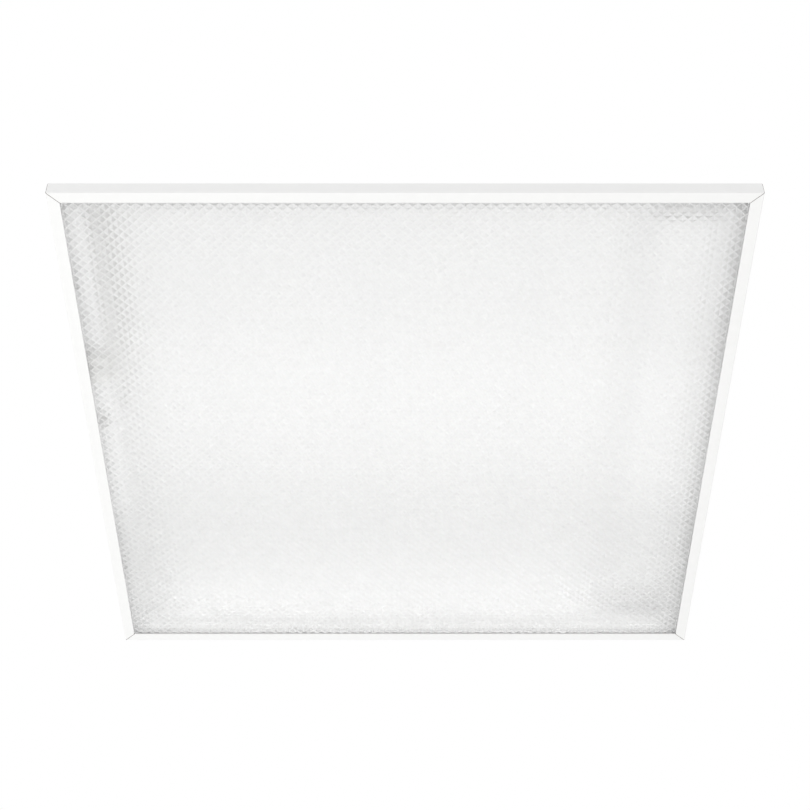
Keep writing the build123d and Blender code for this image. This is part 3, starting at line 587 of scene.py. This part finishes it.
def threaded_bar(radius, depth, pitch, bottom, top, sides=20, steps=6):
    """Rings of a threaded bar along Z.

    The radius at an angle and height is the outer radius less the depth times the distance of
    height over pitch minus angle over a full turn from its nearest half, so the ridge climbs one
    pitch a turn.
    """
    height = np.linspace(bottom, top, int(round((top - bottom) / pitch * steps)) + 1)[:, None]
    angle = (np.arange(sides) * 2 * math.pi / sides)[None, :]
    phase = (height / pitch - angle / (2 * math.pi)) % 1.0
    reach = radius - depth * (1 - np.abs(2 * phase - 1))
    reach = np.where((height < bottom + pitch / 2) | (height > top - pitch / 2), radius - depth, reach)
    x, y = reach * np.cos(angle), reach * np.sin(angle)
    return np.stack([x, y, np.broadcast_to(height, x.shape)], axis=-1)


clamp_places = {
    "near_left": (-CLAMP_X, -CLAMP_Y, 0),
    "near_right": (CLAMP_X, -CLAMP_Y, 0),
    "far_left": (-CLAMP_X, CLAMP_Y, 0),
    "far_right": (CLAMP_X, CLAMP_Y, 0),
}
shank = threaded_bar(CLAMP_SCREW_RADIUS, THREAD_DEPTH, THREAD_PITCH, FLANGE_Z, CLAMP_SCREW_TOP)
head = cross_head(CLAMP_HEAD_RADIUS, CLAMP_HEAD_HEIGHT)
keeper = turned(
    [(2.3 * MM, 0.0), (3.9 * MM, 0.05 * MM), (4.0 * MM, 0.3 * MM), (2.5 * MM, 0.6 * MM)], HEAD_SIDES
)
for corner, place in clamp_places.items():
    place = np.array(place)
    thread = closed_skins(f"clamp_thread_{corner}", placed_copies(shank, [place]))
    fit_piece(thread, "housing", zinc, "plated_steel", f"clamp_screw_{corner}")
    painted_head = closed_skins(f"clamp_head_{corner}", placed_copies(head, [place + (0, 0, FLANGE_Z)]))
    fit_piece(painted_head, "housing", housing_coat, "plated_steel")
    screw_keeper = closed_skins(f"clamp_keeper_{corner}", placed_copies(keeper, [place]))
    fit_piece(screw_keeper, "housing", zinc, "plated_steel")
dress(zinc, *(f"clamp_carrier_{corner}" for corner in clamp_places))
arm_nylon = grained_finish(
    "natural_nylon", (0.74, 0.73, 0.69), (0.82, 0.81, 0.77), 0.8 * MM, (0.38, 0.55), 0.01 * MM
)
dress(arm_nylon, *(f"clamp_arm_{corner}" for corner in clamp_places))

# ---------------------------------------------------------------------------------------------
# The two concealed hinges on the right and the two spring catches on the left: brackets, leaves
# and clips painted white with the tray, and plain pins and blades, of zinc and of spring steel.
# ---------------------------------------------------------------------------------------------
painted_pieces = ("hinge_bracket", "hinge_leaf", "catch_clip")
dress(housing_coat, *(f"{piece}_{end}" for piece in painted_pieces for end in ("near", "far")))
dress(zinc, "hinge_pin_near", "hinge_pin_far")
spring_steel = grained_finish(
    "spring_steel",
    (0.34, 0.34, 0.35),
    (0.44, 0.44, 0.45),
    0.3 * MM,
    (0.28, 0.42),
    0.003 * MM,
    metallic=1.0,
    stretch=(1, 8, 1),
)
dress(spring_steel, "catch_blade_near", "catch_blade_far")

# ---------------------------------------------------------------------------------------------
# The lens frame: four mitred lengths of extruded aluminium in satin white powder coat, joined at
# the corners by plain die-cast keys in their channel. Along the mitres the coat is darkened with
# painted shade, for the shadow in the seams.
MITRE_SHADE, MITRE_SHADE_REACH = (0.36, 0.34, 0.32), 0.5 * MM

cast_dark, cast_light = (0.5, 0.51, 0.52), (0.62, 0.63, 0.64)
cast_metal = grained_finish(
    "plain_die_casting", cast_dark, cast_light, 0.9 * MM, (0.45, 0.62), 0.02 * MM, metallic=0.9
)
dress(cast_metal, *(f"corner_key_{corner}" for corner in clamp_places))
frame_coat = grained_finish(
    "frame_powder_coat", (0.925, 0.925, 0.923), (0.94, 0.94, 0.938), 0.7 * MM, (0.38, 0.5), 0.008 * MM
)


def shade_mitre_seams(material, seam_shade, reach):
    """Paints seam shade into the coat where a point's |x| and |y| differ by less than the reach."""
    nodes, links = material.node_tree.nodes, material.node_tree.links
    shader = nodes["Principled BSDF"]
    coat = shader.inputs["Base Color"].links[0].from_socket
    place = nodes.new("ShaderNodeTexCoord")
    split = nodes.new("ShaderNodeSeparateXYZ")
    links.new(place.outputs["Object"], split.inputs["Vector"])
    steps = []
    for operation in ("ABSOLUTE", "ABSOLUTE", "SUBTRACT", "ABSOLUTE"):
        steps.append(nodes.new("ShaderNodeMath"))
        steps[-1].operation = operation
    links.new(split.outputs["X"], steps[0].inputs[0])
    links.new(split.outputs["Y"], steps[1].inputs[0])
    links.new(steps[0].outputs["Value"], steps[2].inputs[0])
    links.new(steps[1].outputs["Value"], steps[2].inputs[1])
    links.new(steps[2].outputs["Value"], steps[3].inputs[0])
    edge = nodes.new("ShaderNodeMapRange")
    edge.inputs["From Min"].default_value = reach
    edge.inputs["From Max"].default_value = reach * 0.6
    links.new(steps[3].outputs["Value"], edge.inputs["Value"])
    blend = nodes.new("ShaderNodeMix")
    blend.data_type = "RGBA"
    blend.inputs["B"].default_value = (*seam_shade, 1)
    links.new(edge.outputs["Result"], blend.inputs["Factor"])
    links.new(coat, blend.inputs["A"])
    links.new(blend.outputs["Result"], shader.inputs["Base Color"])


# Painted shade: a dark line along each mitre seam of the frame.
shade_mitre_seams(frame_coat, MITRE_SHADE, MITRE_SHADE_REACH)
dress(frame_coat, *(f"frame_side_{side}" for side in ("near", "right", "far", "left")))

# ---------------------------------------------------------------------------------------------
# The lens: one clear moulded sheet that lies on the frame's lips. Its room side is covered in low
# four-sided pyramids at 45 degrees to the edges, with a narrow frosted land between them.
# ---------------------------------------------------------------------------------------------
LENS_CELLS = 135
LAND_SIDES = 6  # a land's face has six corners, a pyramid's has three
LAND_WIDTH = 0.6 * MM
PYRAMID_DEPTH = 1.15 * MM


def pyramid_sheet(low, high, cells, depth, land):
    """Closed sheet whose underside is a lattice of pyramids turned by 45 degrees.

    A square grid is laid over the sheet. Grid points whose two indices add up to an even number
    are valleys and the others are peaks, which stand lower by the depth. Each grid square is cut
    along the line between its two valleys: a flat land of the given width follows that line, and
    a triangle falls from each side of it to a peak.
    """
    count = cells + 1
    along_x, along_y = np.linspace(low[0], high[0], count), np.linspace(low[1], high[1], count)
    gx, gy = np.meshgrid(along_x, along_y, indexing="ij")
    i, j = np.meshgrid(np.arange(count), np.arange(count), indexing="ij")
    valley = (i + j) % 2 == 0
    land_z = low[2] + depth
    reach = land / math.sqrt(2)
    points = np.stack([gx, gy, np.where(valley, land_z, low[2])], axis=-1)
    beside_x = np.where(valley[:-1], gx[:-1] + reach, gx[1:] - reach)
    beside_y = np.where(valley[:, :-1], gy[:, :-1] + reach, gy[:, 1:] - reach)
    on_x = np.stack([beside_x, gy[:-1], np.full_like(beside_x, land_z)], axis=-1)
    on_y = np.stack([gx[:, :-1], beside_y, np.full_like(beside_y, land_z)], axis=-1)
    at = np.arange(count * count).reshape(count, count)
    at_x = at.size + np.arange(on_x.shape[0] * count).reshape(on_x.shape[:2])
    at_y = at.size + at_x.size + np.arange(count * on_y.shape[1]).reshape(on_y.shape[:2])

    c00, c10, c01, c11 = at[:-1, :-1], at[1:, :-1], at[:-1, 1:], at[1:, 1:]
    bottom, top, left, right = at_x[:, :-1], at_x[:, 1:], at_y[:-1], at_y[1:]
    up = valley[:-1, :-1]
    falls = [
        np.stack([c10, right, bottom], -1)[up],
        np.stack([c01, left, top], -1)[up],
        np.stack([c00, left, bottom], -1)[~up],
        np.stack([c11, right, top], -1)[~up],
    ]
    lands = [
        np.stack([c00, bottom, right, c11, top, left], -1)[up],
        np.stack([c10, right, top, c01, left, bottom], -1)[~up],
    ]
    near = np.stack([at[:-1, 0], at_x[:, 0]], -1).ravel()
    far = np.stack([at[1:, -1], at_x[:, -1]], -1)[::-1].ravel()
    rightmost = np.stack([at[-1, :-1], at_y[-1]], -1).ravel()
    leftmost = np.stack([at[0, 1:], at_y[0]], -1)[::-1].ravel()
    rim = np.concatenate([near, rightmost, far, leftmost])
    vertices = np.concatenate([points.reshape(-1, 3), on_x.reshape(-1, 3), on_y.reshape(-1, 3)])
    back = vertices[rim] * (1, 1, 0) + (0, 0, high[2])
    at_back = len(vertices) + np.arange(len(rim))
    edge = np.stack([rim, np.roll(rim, -1), np.roll(at_back, -1), at_back], -1)
    faces = [face for group in (*falls, *lands, edge) for face in group.tolist()] + [at_back.tolist()]
    return np.concatenate([vertices, back]), faces


def clear_moulding(name, clearness, roughness):
    """Acrylic with a faint flow haze: only the roughness and a slight swell vary."""
    material, nodes, links, output = empty_finish(name)
    shader = nodes.new("ShaderNodeBsdfPrincipled")
    shader.inputs["Base Color"].default_value = (0.99, 0.99, 0.99, 1)
    shader.inputs["IOR"].default_value = 1.49
    shader.inputs["Transmission Weight"].default_value = clearness
    place = nodes.new("ShaderNodeTexCoord")
    haze = nodes.new("ShaderNodeTexNoise")
    haze.inputs["Scale"].default_value = 160.0
    haze.inputs["Detail"].default_value = 3.0
    links.new(place.outputs["Object"], haze.inputs["Vector"])
    sheen = nodes.new("ShaderNodeMapRange")
    sheen.inputs["From Min"].default_value = 0.3
    sheen.inputs["From Max"].default_value = 0.7
    sheen.inputs["To Min"].default_value = roughness[0]
    sheen.inputs["To Max"].default_value = roughness[1]
    links.new(haze.outputs["Fac"], sheen.inputs["Value"])
    links.new(sheen.outputs["Result"], shader.inputs["Roughness"])
    bump = nodes.new("ShaderNodeBump")
    bump.inputs["Distance"].default_value = 0.01 * MM
    links.new(haze.outputs["Fac"], bump.inputs["Height"])
    links.new(bump.outputs["Normal"], shader.inputs["Normal"])
    links.new(shader.outputs["BSDF"], output.inputs["Surface"])
    return material


lens_low, lens_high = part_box("prismatic_lens")
sheet_points, sheet_faces = pyramid_sheet(lens_low, lens_high, LENS_CELLS, PYRAMID_DEPTH, LAND_WIDTH)
lens_mesh = bpy.data.meshes.new("prismatic_sheet")
lens_mesh.from_pydata(sheet_points.tolist(), [], sheet_faces)
lens = bpy.data.objects.new("prismatic_sheet", lens_mesh)
bpy.context.scene.collection.objects.link(lens)
bpy.context.view_layer.objects.active = lens
lens.select_set(True)
bpy.ops.object.mode_set(mode="EDIT")
bpy.ops.mesh.select_all(action="SELECT")
bpy.ops.mesh.normals_make_consistent(inside=False)
bpy.ops.object.mode_set(mode="OBJECT")
acrylic = clear_moulding("clear_acrylic", 1.0, (0.29, 0.34))
fit_piece(lens, "lens_frame", acrylic, "clear_lens", "prismatic_lens")
lens_mesh.materials.append(clear_moulding("frosted_land", 0.3, (0.3, 0.4)))
face_sides = np.empty(len(lens_mesh.polygons), np.int32)
lens_mesh.polygons.foreach_get("loop_total", face_sides)
lens_mesh.polygons.foreach_set("material_index", (face_sides == LAND_SIDES).astype(np.int32))
